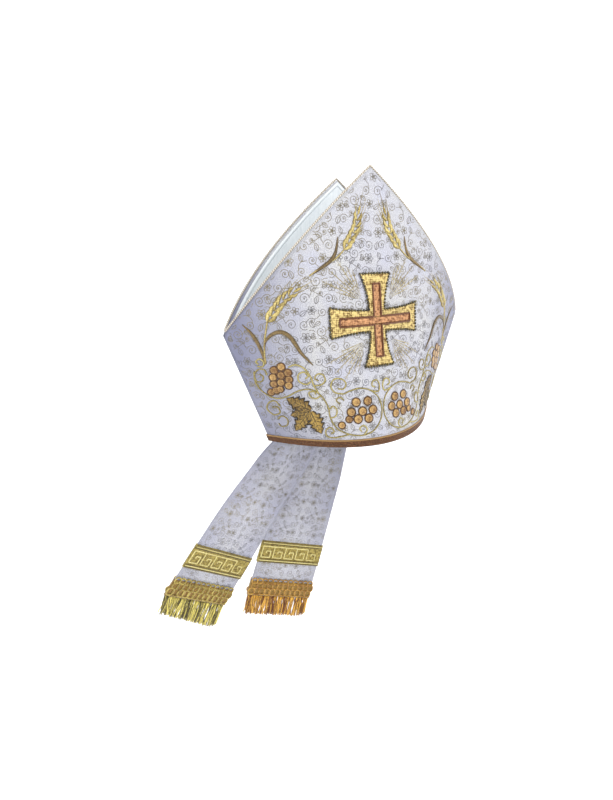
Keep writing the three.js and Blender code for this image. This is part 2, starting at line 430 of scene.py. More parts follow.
def figure_thread():
    gold = Finish("brocade_figure", Roughness=0.45, Metallic=0.25, Sheen_Weight=0.3)
    _, along, _, _ = gold.lie()
    fleck = gold.noise(700, 2.0)
    drift = gold.noise(14, 2.0)
    colour = gold.mix((drift - 0.5) * 3 + 0.5, srgb(84, 86, 98), srgb(122, 110, 74))
    return gold.surface(
        bump=(along * (2 * math.pi / (0.8 * MM))).sine(), depth=0.1 * MM,
        Base_Color=gold.mix((fleck - 0.5) * 1.6, colour, srgb(190, 184, 160)),
    )


brocade_figure = figure_thread()


def on_horn(side):
    def inside(x, y):
        s = cloth_share(x, y)
        return (np.abs(s) < 0.985) & (y > 9.5 * MM) & (y < top_edge(s) - 2 * MM)
    return lambda x, y, out: on_cloth(side, x, y, out), inside


for side, horn in horns.items():
    work = Solids(3)
    place, inside = on_horn(side)
    weave_figure(work, place, 4 * RIM_HALF, TIP, inside)
    figure = work.make(f"figure_of_{horn.name}", brocade_figure)

# ---- The lining ----
# Pale satin inside both horns, turned in along their upper edges and dropped between them in a soft fold
# that lets the mitre open and shut.
LINING = 1.2 * MM
FOLD_HEIGHT, FOLD_SAG = 128 * MM, 30 * MM
LINING_SPAN = 0.965


def lining_sheet(inset, less, s, along, top_less):
    """Rows of the lining from the front horn's edge, down, across and up to the back horn's."""
    wall = 0.36
    side = np.where(along < 0.5, FRONT, BACK)
    share = np.minimum(np.minimum(along, 1 - along) / wall, 1)
    top = top_edge(s) - 2 * MM - top_less
    z = top + (FOLD_HEIGHT - top) * share
    points = horn_point(side, s, z, -inset)
    turn = math.pi * np.clip((along - wall) / (1 - 2 * wall), 0, 1)
    across = (along > wall) & (along < 1 - wall)
    points[..., 1] = np.where(across, -np.cos(turn) * np.abs(points[..., 1]), points[..., 1])
    points[..., 2] -= np.where(across, (FOLD_SAG * (1 - s * s) - less) * np.sin(turn), 0)
    return points


def satin():
    pale = Finish("satin", Roughness=0.34, Sheen_Weight=0.5, Sheen_Roughness=0.3, Anisotropic=0.5)
    note = pale.lie()[0]
    slub = pale.noise(60, 3.0, pale.node(
        "ShaderNodeVectorMath", {"operation": "MULTIPLY"}, {0: note, 1: (1.0, 14.0, 1.0)}))
    grain = pale.noise(1500, 1.0)
    colour = pale.mix((slub - 0.5) * 1.6 + 0.5, srgb(192, 199, 203), srgb(214, 218, 219))
    return pale.surface(bump=grain + slub * 2, depth=0.1 * MM, strength=0.35, Base_Color=colour)


pale_satin = satin()
work = Solids()
s = np.linspace(-1, 1, 81)[None, :] * LINING_SPAN
along = np.linspace(0, 1, 97)[:, None]
inset = WALL + SEAM
outer = lining_sheet(inset, 0, s, along, 0)
inner = lining_sheet(inset + LINING, LINING, s, along, 0)
flat = np.stack(np.broadcast_arrays(along * 0.4, s * RIM_HALF, 0 * s + 0.5), -1)
work.slab(outer, inner, flat)
lining = work.make("satin_lining", pale_satin)
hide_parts("lining")

# The raw edge of the satin is turned under and stitched down in a narrow hem along each horn's slope.
work = Solids()
for side in (FRONT, BACK):
    s = np.linspace(-1, 1, 121) * 0.95
    section = []
    for drop, lift in ((2.2, 0.1), (2.2, 0.5), (4.2, 0.7), (6.2, 0.5), (6.6, 0.1)):
        section.append(horn_point(side, s, top_edge(s) - drop * MM, -(inset + LINING + lift * MM)))
    work.loft(np.stack(section, 1))
hem = work.make("lining_hem", pale_satin)

# ---- Piping ----
# A fine two-ply cord, silver twisted with gold, sewn over the raw upper edge of each horn from shoulder to
# tip and down again.
PIPING_HALF = 1.35 * MM
TWIST = 5 * MM


def cord_finish(name, light, dark, pitch):
    """Twisted metallic cord: a slanting line of painted shade between the plies and a broken shine."""
    cord = Finish(name, Roughness=0.4, Metallic=0.35, Sheen_Weight=0.2)
    _, along, across, _ = cord.lie()
    strand = ((along / pitch + across) * (2 * math.pi)).sine() * 0.5 + 0.5
    fleck = cord.noise(800, 2.0)
    # Painted shade: the colour darkens along the groove between the plies.
    colour = cord.mix(strand.power(0.7) * (fleck * 0.7 + 0.55), dark, light)
    return cord.surface(bump=strand, depth=0.3 * MM, strength=0.8, Base_Color=colour)


def frames(path):
    """Two directions square to a path of points, carried along it without twist."""
    run = np.gradient(path, axis=0)
    run /= np.linalg.norm(run, axis=1, keepdims=True)
    first = np.cross(run[0], (0.3, 0.2, 1.0))
    side = [first / np.linalg.norm(first)]
    for direction in run[1:]:
        next_side = side[-1] - direction * np.dot(side[-1], direction)
        side.append(next_side / np.linalg.norm(next_side))
    side = np.array(side)
    return side, np.cross(run, side)


def cord_rings(path, radius, pitch, plies=2, corners=10, depth=0.22):
    """Rings of a twisted cord along a path: a lobed section that turns as it goes."""
    side, up = frames(path)
    along = np.append(0, np.cumsum(np.linalg.norm(np.diff(path, axis=0), axis=1)))
    angle = np.linspace(0, 2 * math.pi, corners, endpoint=False)[None, :]
    turn = (2 * math.pi * along / pitch)[:, None]
    reach = radius * (1 - depth * (0.5 - 0.5 * np.cos(plies * (angle - turn))))
    round_side = np.cos(angle)[..., None] * side[:, None] + np.sin(angle)[..., None] * up[:, None]
    return path[:, None] + reach[..., None] * round_side


piping_cord = cord_finish("piping_cord", srgb(204, 198, 186), srgb(112, 96, 74), 2.5 * MM)
for side, name in ((FRONT, "front_piping"), (BACK, "back_piping")):
    s = np.linspace(-1, 1, 301) * 0.985
    rise = SEAM + PIPING_HALF + 0.45 * MM
    path = horn_point(side, s, top_edge(s) + rise, -WALL / 2)
    work = Solids()
    work.loft(cord_rings(path, PIPING_HALF, TWIST))
    cord = work.make(name.replace("piping", "edge_cord"), piping_cord)
    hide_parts(name)

# ---- Braid round the rim ----
# A flat bronze braid, woven in lengthwise ribs, carried right round the lower edge and turned at the seams.
# A lighter gold rib runs along its top.
braid_low, braid_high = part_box("rim_braid")
BRAID_DEPTH = braid_high.z - braid_low.z
BRAID_THICK = 1.4 * MM
RIBS = 5


def braid_section(side, s):
    """One section of the braid: a flat back and ribbed face, from the lower edge up."""
    back = horn_point(side, s, braid_low.z + np.array([1.0, 0.5, 0.0]) * BRAID_DEPTH, SEAM)
    share = np.linspace(0, 1, RIBS * 4 + 1)
    rib = BRAID_THICK * (0.62 + 0.38 * np.abs(np.sin(math.pi * RIBS * share)))
    rib[[0, -1]] = 0.3 * BRAID_THICK
    return np.concatenate([back, horn_point(side, s, braid_low.z + share * BRAID_DEPTH, SEAM + rib)])


def braid_finish():
    bronze = Finish("bronze_braid", Roughness=0.42, Metallic=0.5)
    along = bronze.lie()[1]
    height = bronze.parts(bronze.node("ShaderNodeTexCoord", out="Object"))[2]
    slant = ((along / (1.3 * MM) + height / (2.2 * MM)) * (2 * math.pi)).sine()
    rows = (height * (2 * math.pi * RIBS / 2 / BRAID_DEPTH)).sine()
    fleck = bronze.noise(600, 2.0)
    colour = bronze.mix(slant * 0.35 + 0.5, srgb(36, 20, 10), srgb(100, 62, 34))
    colour = bronze.mix((fleck - 0.45) * 1.6, colour, srgb(146, 102, 60))
    top = (height - 0.82 * BRAID_DEPTH) > 0
    return bronze.surface(
        bump=slant + rows, depth=0.2 * MM, strength=0.7,
        Base_Color=bronze.mix(top * 0.5, colour, srgb(196, 160, 104)),
    )


work = Solids()
turns = [(side, s) for side in (FRONT, BACK) for s in -side * np.linspace(-1, 1, 120)]
sections = np.array([braid_section(side, s) for side, s in turns])
travelled = np.cumsum(np.linalg.norm(np.diff(sections[:, 1], axis=0, prepend=sections[:1, 1]), axis=1))
work.ring(sections, travelled)
braid = work.make("ribbed_braid", braid_finish())
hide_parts("rim_braid")

# ---- The cross ----
# A padded cross with flared arms, covered in couched gold thread and sewn on the front. A bronze bar cross
# lies on it inside a brown cord, and a line of dark beads follows its outline.
cross_low, cross_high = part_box("cross")
CROSS_UP = (cross_low.z + cross_high.z) / 2
CROSS_THICK = 1.5 * MM
TALL, WIDE = (50.5 * MM, 18.5 * MM), (56.3 * MM, 16 * MM)
WAIST, CROTCH = 9.5 * MM, 11 * MM


def turned(points, quarter):
    """Flat points turned by quarter turns."""
    c, s = ((1, 0), (0, 1), (-1, 0), (0, -1))[quarter]
    return np.asarray(points, float) @ np.array([[c, s], [-s, c]])


def flared_outline(grow=0.0, step=7):
    """The cross's outline, anticlockwise from the right arm's lower root, grown by a margin."""
    outline = []
    for quarter, (reach, half) in enumerate((WIDE, TALL, WIDE, TALL)):
        root_in, root_out = (CROTCH, WAIST) if quarter % 2 else (WAIST, CROTCH)
        t = np.linspace(0, 1, step)[:, None]
        root = np.array([root_in + grow, -root_out - grow])
        bend = np.array([reach * 0.62, -root_out - grow])
        end = np.array([reach + grow, -half - grow])
        lower = root * (1 - t) ** 2 + bend * 2 * t * (1 - t) + end * t**2
        middle = [[reach + grow, y] for y in np.linspace(-half, half, 7)[1:-1]]
        arm = np.concatenate([lower, middle, lower[::-1] * [1, -1]])
        outline.append(turned(arm[1:], quarter))
    return np.concatenate(outline)


def on_cross(x, y, out):
    return on_cloth(FRONT, x, CROSS_UP + y, out)


work = Solids()
outline = flared_outline()
rings = []
under = [(share, SEAM) for share in (0.03, 0.3, 0.6, 0.9)]
over = [(share, SEAM + CROSS_THICK) for share in (0.9, 0.75, 0.6, 0.45, 0.3, 0.15, 0.03)]
turn = [(1.0, SEAM), (1.0, SEAM + 0.7 * CROSS_THICK), (0.97, SEAM + 0.95 * CROSS_THICK)]
for share, lift in under + turn + over:
    rings.append(on_cross(outline[:, 0] * share, outline[:, 1] * share, lift))
work.loft(np.array(rings))


def couched_gold(name, light, dark, spacing):
    """Gold thread laid in two slanting sets and tied down: a small lattice with a broken shine."""
    gold = Finish(name, Roughness=0.4, Metallic=0.45)
    x, _, z = gold.parts(gold.node("ShaderNodeTexCoord", out="Object"))
    one = ((x + z) * (2 * math.pi / spacing)).sine()
    two = ((x - z) * (2 * math.pi / spacing)).sine()
    lattice = (one * two) * 0.5 + 0.5
    fleck = gold.noise(900, 2.0)
    patchy = gold.noise(330, 2.0)
    colour = gold.mix((lattice - 0.5) * 0.7 + patchy * 3.4 - 1.3 + fleck * 0.4, dark, light)
    return gold.surface(bump=lattice, depth=0.35 * MM, strength=0.8, Base_Color=colour)


field_gold = couched_gold("cross_field", srgb(208, 186, 120), srgb(98, 70, 26), 4.6 * MM)
field = work.make("cross_field", field_gold, smooth=False)
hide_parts("cross")

BAR_HALF, BAR_MARGIN = 4.6 * MM, 10 * MM
bar_reach = (WIDE[0] - BAR_MARGIN, TALL[0] - BAR_MARGIN) * 2
bar_outline = np.concatenate([
    turned([(BAR_HALF, -BAR_HALF), (reach, -BAR_HALF), (reach, BAR_HALF)], quarter)
    for quarter, reach in enumerate(bar_reach)])
cross_face = SEAM + CROSS_THICK
work = Solids()
for quarter, reach in enumerate(bar_reach):
    start = -BAR_HALF if quarter == 0 else BAR_HALF
    t = np.linspace(start, reach, 26)
    flat = turned(np.stack([t, 0 * t], -1), quarter)
    thread(work, on_cross, flat, BAR_HALF - 0.4 * MM, 0.5 * MM, corners=9, base=cross_face + 0.05 * MM)
bar_gold = couched_gold("cross_bar", srgb(192, 142, 98), srgb(96, 54, 26), 3.8 * MM)
bar = work.make("cross_bar", bar_gold)


def closed_line(corners, step):
    """Even points along straight sides, back to the start."""
    corners = np.concatenate([corners, corners[:1]])
    length = np.append(0, np.cumsum(np.linalg.norm(np.diff(corners, axis=0), axis=1)))
    even = np.linspace(0, length[-1], int(length[-1] / step) + 1)
    return np.stack([np.interp(even, length, corners[:, axis]) for axis in (0, 1)], -1)


brown_cord = cord_finish("brown_cord", srgb(122, 66, 20), srgb(52, 24, 6), 2 * MM)
work = Solids()
flat = closed_line(bar_outline, 1.5 * MM)
path = on_cross(flat[:, 0], flat[:, 1], np.full(len(flat), cross_face + 0.7 * MM))
work.loft(cord_rings(path, 1.15 * MM, 3.5 * MM, corners=6))
edge = work.make("cross_bar_cord", brown_cord)


def bead(work, centre, radius, up, flatten=0.8):
    """A small bead as rings from pole to pole along its up direction."""
    up = up / np.linalg.norm(up)
    side = np.cross(up, (0.0, 0.0, 1.0))
    side /= np.linalg.norm(side)
    other = np.cross(up, side)
    angle = np.linspace(0, 2 * math.pi, 8, endpoint=False)
    rings = []
    for tilt in np.radians((-80, -40, 0, 40, 80)):
        ring = np.cos(angle)[:, None] * side + np.sin(angle)[:, None] * other
        rings.append(centre + radius * (math.cos(tilt) * ring + math.sin(tilt) * flatten * up))
    work.loft(np.array(rings))


def bead_finish():
    olive = Finish("dark_beads", Roughness=0.25, Metallic=0.4, Coat_Weight=0.4)
    return olive.surface(Base_Color=olive.mix(olive.lie()[3], srgb(34, 28, 8), srgb(84, 72, 26)))


work = Solids(5)
for x, y in closed_line(flared_outline(0.8 * MM), 3.6 * MM)[:-1]:
    centre = on_cross(x, y, SEAM + 1.2 * MM)
    bead(work, centre, 1.6 * MM, centre - on_cross(x, y, 0))
beads = work.make("cross_beads", bead_finish())

# ---- Wheat, blades and rays ----
# Ears of wheat with their blades climb each side of the cross, and fine rays fan out of its corners. They
# are machine embroidery: satin stitch laid crosswise over each shape, so that each stands up like a cord.
STITCH = 0.75 * MM


def satin_stitch(name, light, dark, metal=0.35, tones=0.4):
    """Metallic thread laid side by side across a shape, each shape a little lighter or darker, with painted
    shade towards each thread's edges and between its stitches.
    """
    gold = Finish(name, Roughness=0.38, Metallic=metal, Sheen_Weight=0.15)
    _, along, across, tone = gold.lie()
    stitch = (along * (2 * math.pi / STITCH)).sine() * 0.5 + 0.5
    fleck = gold.noise(650, 2.0)
    # Painted shade: each thread darkens towards its edges, where it dips to the cloth, and in the dips
    # between its stitches.
    edge = abs(across - 0.5) * 2
    shine = fleck * 1.5 - 0.35 + (tone - 0.5) * tones - edge * 0.35 + stitch * 0.3
    colour = gold.mix(shine, dark, light)
    return gold.surface(bump=stitch, depth=0.25 * MM, strength=0.7, Base_Color=colour)


def on_front(x, y, out):
    return on_cloth(FRONT, x, y, out)


def stitched(work, points, half, proud=0.9 * MM, mirror=1, taper=None, step=1.6 * MM, corners=7,
             lift=0.05 * MM):
    """A line of satin stitch through flat points in millimetres, on one side or mirrored to the other."""
    flat = smooth_line(np.asarray(points, float) * MM * [mirror, 1], step)
    share = np.linspace(0, 1, len(flat))
    shape = {None: np.ones_like(share), "leaf": np.sin(math.pi * (0.04 + 0.92 * share)) ** 0.8,
             "point": (1 - share) ** 0.6 * 0.9 + 0.1}[taper]
    thread(work, on_front, flat, half * shape, proud * (0.4 + 0.6 * shape), corners, lift)


def wheat_ear(work, awns, spine, grain, pairs, mirror):
    """Pairs of grains up a spine, each with a long awn, and one at the tip."""
    line = smooth_line(spine, 0.5)
    run = np.gradient(line, axis=0)
    run /= np.linalg.norm(run, axis=1, keepdims=True)
    for pair in range(pairs + 1):
        share = pair / pairs * 0.86
        at = int(share * (len(line) - 1))
        foot, way = line[at], run[at]
        aside = np.array([-way[1], way[0]])
        for hand in (1, -1) if pair < pairs else (0,):
            size = grain * (1.05 - 0.35 * share)
            start = foot + aside * hand * 0.03 * grain
            middle = start + way * size * 0.5 + aside * hand * 0.26 * grain
            end = start + way * size + aside * hand * 0.27 * grain
            stitched(work, [start, middle, end], size * 0.19 * MM, 1.1 * MM, mirror, "leaf", 1.2 * MM)
            reach = end + (way + aside * hand * 0.1) * grain * (1.7 - 0.5 * share)
            bow = (end + reach) / 2 + aside * hand * 0.6
            stitched(awns, [end - way, bow, reach], 0.42 * MM, 0.35 * MM, mirror, "point", 2.5 * MM, 3)


STEMS = (  # flat millimetres out from the middle and up from the rim, for one side
    ([(77, 194), (66, 201), (55, 206.5), (45, 212), (36, 220)], 0.9, None),
    ([(132, 101), (132, 115), (130, 129), (125.5, 148)], 0.9, None),
)
EARS = (
    ([(36, 220), (28, 231), (22, 241), (18.5, 252), (15.5, 262)], 12),
    ([(125.5, 148), (117.5, 158.5), (109, 168.5), (98, 176.5), (88, 181.5)], 12.5),
)
BLADES = (
    ([(77, 194), (65, 201), (53, 208.5), (46, 218), (43, 233)], 2.2),
    ([(153, 146), (144, 135.5), (136.5, 120), (132, 101)], 2.2),
    ([(132, 115), (130, 126), (122, 134), (112, 136.5), (103, 131.5), (97, 122.5), (91, 112), (79, 98)], 2.6),
)
gold_stitch = satin_stitch("wheat_gold", srgb(214, 196, 124), srgb(98, 78, 28))
dark_stitch = satin_stitch("blade_bronze", srgb(138, 114, 68), srgb(56, 44, 20))
ray_stitch = satin_stitch("ray_gold", srgb(208, 192, 134), srgb(128, 110, 58), 0.25)
wheat, awns, blades = Solids(11), Solids(12), Solids(13)
for mirror in (-1, 1):
    for points, half, taper in STEMS:
        stitched(wheat, points, half * MM, 0.8 * MM, mirror, taper)
    for points, half in BLADES:
        stitched(blades, points, half * MM, 1.1 * MM, mirror, "leaf")
    for spine, grain in EARS:
        wheat_ear(wheat, awns, spine, grain, 6, mirror)
RAY_LENGTHS = (30, 44, 36, 46, 34, 45, 38, 26)
rays = Solids(14)
for mirror in (-1, 1):
    for x, y, up in ((17, 166, 1), (17, 121, -1)):
        for k, reach in enumerate(RAY_LENGTHS):
            angle = math.radians(18 + 54 * k / (len(RAY_LENGTHS) - 1))
            way = np.array([math.cos(angle), up * math.sin(angle)])
            start = np.array([x, y]) + way * (4 + 5 * (k % 2))
            stitched(rays, [start, start + way * reach], 0.45 * MM, 0.4 * MM, mirror, "leaf", 3 * MM, 3)
            for barb in range(2, int(reach / 6)):
                foot = start + way * barb * 6
                for hand in (1, -1):
                    tilt = angle * up + hand * 0.7
                    tip = foot + np.array([math.cos(tilt), math.sin(tilt)]) * 4
                    stitched(rays, [foot, tip], 0.3 * MM, 0.3 * MM, mirror, "leaf", 2 * MM, 3)
for work, name, material in (
    (wheat, "wheat", gold_stitch), (awns, "wheat_awns", gold_stitch), (blades, "blades", dark_stitch),
    (rays, "rays", ray_stitch),
):
    work.make(name, material)

# ---- The vine ----
# A gold vine runs round above the rim in the same stitch, with curling tendrils, bunches of grapes worked
# as padded discs inside a brown outline, and a dark toothed vine leaf on each side.
VINES = (
    [(147, 92), (147, 79), (140, 67), (126, 59.5), (112, 62), (98, 69), (84, 70.5), (73, 63), (66, 50),
     (64, 36), (57, 23), (44, 16), (28, 13.5), (13.5, 18), (4, 29), (1.2, 42), (4.5, 55), (14, 64.5),
     (26, 68.5), (38, 67), (47, 63.5)],
    [(107, 97), (99, 99.5), (90, 95.5), (83.5, 86), (80, 75), (75, 65)],
    [(47, 63.5), (57, 66), (61, 73.5), (57, 81), (48.5, 81), (43.5, 75.5), (46.5, 69.5), (53, 70)],
    [(14, 64.5), (4.5, 62.5), (2.2, 69), (5, 75.5), (10.5, 75), (12, 70), (8, 68)],
    [(132, 88), (134.5, 94), (141.5, 94.5), (147, 88), (145.5, 80), (139, 80.5), (137, 86), (141, 89)],
    [(142, 98), (136, 98), (134, 103), (138, 107), (143, 104), (141, 100.5)],
    [(83, 79.5), (89, 76.5), (96.5, 80.5), (96.5, 88), (90, 91), (85.5, 86.5), (89, 83)],
    [(80, 75), (72, 75.5), (67, 80.5), (69, 87), (75, 88), (78.5, 83.5), (74.5, 80)],
    [(73, 63), (79, 59.5), (85, 62), (86, 67), (80, 68), (79, 64.5)],
    [(122, 50), (127, 56), (135, 53.5), (138.5, 45), (131, 38), (123, 41.5), (125, 48), (131, 48)],
    [(127, 33), (121, 37), (115, 33), (116.5, 25.5), (124, 23), (127, 27)],
    [(44, 15.5), (61, 12), (69.5, 14), (70.5, 21), (65, 24.5), (61, 20), (64.5, 17)],
    [(64, 36), (58, 38), (56, 45), (60, 50), (65, 46)], [(52, 52), (56, 57), (51, 60), (47, 56)],
    [(26, 14), (22, 20), (26, 25), (31, 22), (29, 18)],
)
CLUSTERS = (  # grape centres and radii, flat millimetres
    (4.6, [(115, 97.5), (123.5, 93.5), (108, 90.5), (125.5, 85), (116, 87.5), (107.5, 82.5), (117, 79),
           (125.5, 77), (108.5, 75.5), (123.5, 69.5)]),
    (5.2, [(33, 53), (18.8, 53), (39.5, 41.8), (26, 41.8), (13, 42.3), (32, 33), (19, 32.8)]),
    (4.2, [(42.5, 33.5), (51.5, 27), (118.5, 71), (130, 67)]),
)
vine_stitch = satin_stitch("vine_gold", srgb(196, 182, 110), srgb(98, 84, 36))
grape_stitch = satin_stitch("grape_gold", srgb(194, 158, 96), srgb(100, 66, 28), 0.3)
outline_stitch = satin_stitch("outline_brown", srgb(104, 66, 22), srgb(48, 26, 6), 0.2)
vines, grapes, outlines = Solids(21), Solids(22), Solids(23)
for mirror in (-1, 1):
    for points in VINES:
        stitched(vines, points, 0.95 * MM, 0.75 * MM, mirror, step=1.4 * MM, corners=5)
    for radius, centres in CLUSTERS:
        for x, y in centres:
            angle = np.linspace(0, 2 * math.pi, 20, endpoint=False)
            rings = []
            for share, lift in ((0.05, 0.05), (0.9, 0.05), (0.88, 0.5), (0.7, 1.0), (0.4, 1.25), (0.05, 1.3)):
                reach = radius * share * MM
                rings.append(on_front(x * mirror * MM + reach * np.cos(angle), y * MM + reach * np.sin(angle),
                                      np.full(20, lift * MM)))
            grapes.loft(np.array(rings))
            loop = np.append(angle, angle[0])
            flat = np.stack([x * mirror + radius * np.cos(loop), y + radius * np.sin(loop)], -1) * MM
            thread(outlines, on_front, flat, 0.65 * MM, 0.85 * MM, 5, 0.1 * MM)

LOBES = (  # where each lobe of the leaf points, and its length and width, from the stalk's end
    ((86, 45.5), (109, 58), 30, 22), ((88, 44.5), (112, 38), 23, 17),
    ((88, 44), (106, 20), 31, 20), ((86, 44), (76, 17.5), 29, 21),
)
leaves, veins = Solids(31), Solids(32)
for mirror in (-1, 1):
    for foot, tip, length, width in LOBES:
        foot, tip = np.array(foot, float), np.array(tip, float)
        way = (tip - foot) / np.linalg.norm(tip - foot)
        aside = np.array([-way[1], way[0]])
        t = np.linspace(0, 1, 51)
        teeth = 1 - 0.5 * ((t * 5) % 1)
        half = width / 2 * np.sin(math.pi * np.clip(t, 0.03, 0.99) ** 0.75) ** 0.8 * teeth
        middle = foot + way * t[:, None] * length
        thread(leaves, on_front, middle * MM * [mirror, 1], half * MM, 0.9 * MM, 9, 0.05 * MM)
        for hand in (1, -1):
            rim = (middle + aside * hand * half[:, None]) * MM * [mirror, 1]
            thread(veins, on_front, rim, 0.5 * MM, 0.9 * MM, 5, 0.1 * MM)
            for share in (0.2, 0.4, 0.6, 0.78):
                start = foot + way * share * length
                end = start + (way * 0.75 + aside * hand) * width * 0.3 * (1.2 - share)
                stitched(veins, [start, end], 0.4 * MM, 0.5 * MM, mirror, "leaf", 1.5 * MM, 3, lift=0.85 * MM)
        stitched(veins, [foot, foot + way * length * 0.92], 0.5 * MM, 0.5 * MM, mirror, "point", 2 * MM, 5,
                 lift=0.85 * MM)
leaf_stitch = satin_stitch("leaf_gold", srgb(190, 158, 76), srgb(84, 60, 20))
vein_stitch = satin_stitch("leaf_outline", srgb(60, 44, 16), srgb(24, 16, 4), 0.2)
for work, name, material in (
    (vines, "vine", vine_stitch), (grapes, "grapes", grape_stitch),
    (outlines, "grape_outlines", outline_stitch), (leaves, "vine_leaves", leaf_stitch),
    (veins, "leaf_veins", vein_stitch),
):
    work.make(name, material)

# ---- The lappets ----
# Two strips of the same brocade, faced on both sides, sewn inside the back of the rim and drawn aside. They
# widen towards the ends and hang in one soft bend.
TUCK = 12 * MM
TOP_WIDTH, END_WIDTH, CLOTH, STRIP_LENGTH, SETTLE = 87 * MM, 101 * MM, 2 * MM, 320 * MM, 120 * MM
HELD_REACH = 80 * MM
LEANS = {"left": 37.6, "right": 18.7}
# Painted shade: the strips' silk is given the painted shade that the horns' silk has this far from their
# middle.
STRIP_PAINTED_SHADE = 110 * MM  # the strips' silk is toned like the horns' silk that far from their middle


def ease(value, low, high):
    share = np.clip((value - low) / (high - low), 0, 1)
    return share * share * (3 - 2 * share)


def lappet_place(top_x, lean, turn, hang, inside):
    """The map from a lappet's flat cloth to points: aside in metres from its middle, down from its sewn
    top, and out of its middle layer towards the back."""
    lean = math.radians(lean)

    def place(aside, down, out):
        half = (TOP_WIDTH + (END_WIDTH - TOP_WIDTH) * np.clip(down / STRIP_LENGTH, 0, 1)) / 2
        reach = aside * half / (END_WIDTH / 2)
        free = ease(down, 0, SETTLE)
        yaw = free * math.radians(turn)
        x = top_x - down * math.sin(lean) + reach * np.cos(lean * free) * np.cos(yaw)
        z = TUCK - down * math.cos(lean) - reach * np.sin(lean * free) * np.cos(yaw)
        held = np.clip(x, -HELD_REACH, HELD_REACH)
        level = np.maximum(z, 0)
        seam = half_width(level) - SEAM_SLANT * WALL
        sewn = (bulge(level) - WALL) * (1 - (held / seam) ** 2) - inside
        y = sewn + (hang - reach * np.sin(yaw) - sewn) * ease(-z, 0, SETTLE)
        return np.stack(np.broadcast_arrays(x, y + out, z), -1)
    return place


places = {
    "left": lappet_place(-28.7 * MM, LEANS["left"], -9, 57 * MM, 4.1 * MM),
    "right": lappet_place(4.9 * MM, LEANS["right"], 8, 66 * MM, 1.3 * MM),
}


def on_strip(x, y):
    return (np.abs(x) < END_WIDTH / 2 - 2 * MM) & (y > 14 * MM) & (y < STRIP_LENGTH - 26 * MM)


strips, hung_on = {}, {}
for name, place in places.items():
    aside = np.linspace(-1, 1, 33)[None, :] * END_WIDTH / 2
    down = np.linspace(0, STRIP_LENGTH, 101)[:, None]
    # The across note places each strip's silk in the painted shade of the horns' sides.
    flat = np.stack(np.broadcast_arrays(down, np.abs(aside) * 0.6 + STRIP_PAINTED_SHADE, 0 * down + 1), -1)
    work = Solids()
    work.slab(place(aside, down, CLOTH / 2), place(aside, down, -CLOTH / 2), flat)
    strips[name] = work.make(f"lappet_{name}_cloth", brocade_ground)
    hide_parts(f"lappet_{name}")
    work = Solids(41)
    for face in (BACK, FRONT):
        def on_face(x, y, out):
            return place(x, y, face * (CLOTH / 2 + out))
        weave_figure(work, on_face, END_WIDTH, STRIP_LENGTH, on_strip, waist=0.27 * MM)
    figure = work.make(f"figure_of_lappet_{name}", brocade_figure)
    hung_on[name] = [figure]

# ---- The galloon ----
# A flat gold band is sewn right round each lappet above its end. It has dark and light lines along both
# edges and a raised key between them.
BAND_DEPTH, BAND_THICK, BAND_EDGE = 36 * MM, 0.8 * MM, 9 * MM
KEY_UNIT, KEY_STEP, STEPS_ACROSS = 19 * MM, 1.2 * MM, 40
near = CLOTH / 2 + SEAM
bands_at = {"left": 239 * MM, "right": 227 * MM}


def sleeve(place, start, depth, thick):
    """Sections of a trimming that goes right round a lappet, from a distance down it."""
    inner, outer = END_WIDTH / 2 + SEAM, END_WIDTH / 2 + SEAM + thick
    profile = [(0, near, inner), (0, near + thick * 0.6, outer), (0.02, near + thick, outer),
               (0.98, near + thick, outer), (1, near + thick * 0.6, outer), (1, near, inner)]
    share, out, edge = (np.array(column) for column in zip(*profile))
    across = np.linspace(-1, 1, STEPS_ACROSS)[:, None]
    return np.concatenate([
        place(face * across * edge, start + share * depth, face * out) for face in (BACK, FRONT)])


galloon_gold = couched_gold("galloon_ground", srgb(158, 142, 72), srgb(84, 68, 22), 2.2 * MM)
key_gold = satin_stitch("galloon_key", srgb(240, 230, 160), srgb(160, 142, 70), 0.4)
line_gold = satin_stitch("galloon_line", srgb(112, 96, 30), srgb(64, 52, 14), 0.4)
for name, place in places.items():
    work = Solids()
    sections = sleeve(place, bands_at[name], BAND_DEPTH, BAND_THICK)
    steps = np.diff(sections[:, 1], axis=0, prepend=sections[:1, 1])
    work.ring(sections, np.cumsum(np.linalg.norm(steps, axis=1)))
    band = work.make(f"galloon_{name}", galloon_gold)
    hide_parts(f"key_band_{name}")
    keys, lines = Solids(51), Solids(52)
    edge = END_WIDTH / 2 - 0.5 * MM
    across = np.linspace(-edge, edge, 60)
    low, high = BAND_EDGE, BAND_DEPTH - BAND_EDGE
    hook = (low + high) / 2
    for face in (BACK, FRONT):
        def on_band(x, y, out):
            return place(x, bands_at[name] + y, face * (near + BAND_THICK + out))
        for work, proud, rows in ((lines, 0.5 * MM, (1.5 * MM, 5.5 * MM)), (keys, 0.6 * MM, (3.5 * MM,))):
            for row in rows + tuple(BAND_DEPTH - row for row in reversed(rows)):
                thread(work, on_band, np.stack([across, np.full(60, row)], -1), 0.8 * MM, proud, 5)
        for unit in range(5):
            left = -edge + 2 * MM + unit * KEY_UNIT
            corners = [(0, low), (0, high), (14 * MM, high), (14 * MM, hook - 1.5 * MM),
                       (7 * MM, hook - 1.5 * MM), (7 * MM, hook + 3 * MM)]
            if unit < 4:
                corners.insert(0, (KEY_UNIT, low))
            corners = np.array(corners) + (left, 0)
            length = np.linalg.norm(np.diff(corners, axis=0), axis=1).sum()
            flat = closed_line(corners, KEY_STEP)[:int(length / KEY_STEP)]
            thread(keys, on_band, flat[flat[:, 0] < edge], 1.05 * MM, 0.6 * MM, 5)
    key = keys.make(f"key_{name}", key_gold)
    stripes = lines.make(f"galloon_lines_{name}", line_gold)
    hung_on[name] += [band, key, stripes]

